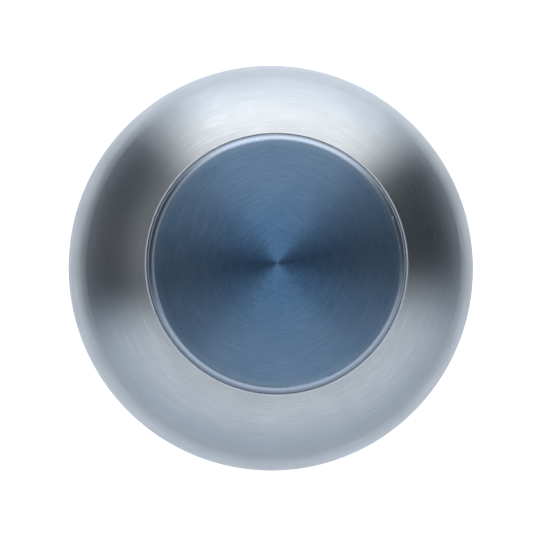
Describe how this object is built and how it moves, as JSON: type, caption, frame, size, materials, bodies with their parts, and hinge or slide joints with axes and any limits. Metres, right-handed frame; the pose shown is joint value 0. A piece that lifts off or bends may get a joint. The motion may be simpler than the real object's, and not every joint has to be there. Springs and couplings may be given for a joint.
{
  "type": "yo-yo",
  "caption": "Metal yo-yo with two rounded hollow halves, inset blue face caps, a threaded axle and a ball bearing in the string gap.",
  "frame": {"origin": "centre of the bearing, midway between the two halves and on the axle's axis", "axes": "+Z along the axle towards the upper half; X and Y lie in the string gap's middle plane"},
  "size_m": [0.056, 0.056, 0.036],
  "materials": {
    "silver_aluminium": "satin, fine turning marks",
    "blue_anodised": "steel-blue anodised, concentric turning marks",
    "black_rubber": "matt black rubber",
    "nut_steel": "zinc-plated steel",
    "axle_steel": "rolled thread",
    "brass_spacer": "turned brass",
    "silicone_pad": "matt white silicone",
    "bearing_steel": "ground bearing steel",
    "ball_steel": "mirror polished",
    "cage_nylon": "natural nylon"
  },
  "bodies": {
    "lower_half": {"lower_half_shell": "silver_aluminium", "lower_face_cap": "blue_anodised", "lower_cap_o_ring": "black_rubber", "lower_axle_nut": "nut_steel", "lower_bearing_spacer": "brass_spacer", "lower_response_pad": "silicone_pad", "axle_stud": "axle_steel", "bearing_inner_race": "bearing_steel"},
    "upper_spacer": {"upper_bearing_spacer": "brass_spacer"},
    "upper_half": {"upper_half_shell": "silver_aluminium", "upper_face_cap": "blue_anodised", "upper_cap_o_ring": "black_rubber", "upper_axle_nut": "nut_steel", "upper_response_pad": "silicone_pad"},
    "bearing_outer": {"bearing_outer_race": "bearing_steel", "lower_bearing_shield": "bearing_steel", "upper_bearing_shield": "bearing_steel", "lower_shield_snap_ring": "bearing_steel", "upper_shield_snap_ring": "bearing_steel"},
    "ball_set": {"bearing_balls": "ball_steel", "bearing_cage": "cage_nylon"}
  },
  "joints": [
    {"name": "upper_half_lift", "type": "slide", "parent": "lower_half", "child": "upper_spacer", "axis": [0, 0, 1], "range_m": [0, 0.0035]},
    {"name": "upper_half_twist", "type": "hinge", "parent": "upper_spacer", "child": "upper_half", "pos_m": [0, 0, 0], "axis": [0, 0, 1], "range_deg": [0, 1800]},
    {"name": "bearing_spin", "type": "hinge", "parent": "lower_half", "child": "bearing_outer", "pos_m": [0, 0, 0], "axis": [0, 0, 1], "continuous": true},
    {"name": "cage_spin", "type": "hinge", "parent": "lower_half", "child": "ball_set", "pos_m": [0, 0, 0], "axis": [0, 0, 1], "continuous": true}
  ],
  "couplings": [
    {"joint": "upper_half_lift", "follows": "upper_half_twist", "m_per_rad": 0.0001114},
    {"joint": "cage_spin", "follows": "bearing_spin", "ratio": 0.60499}
  ]
}
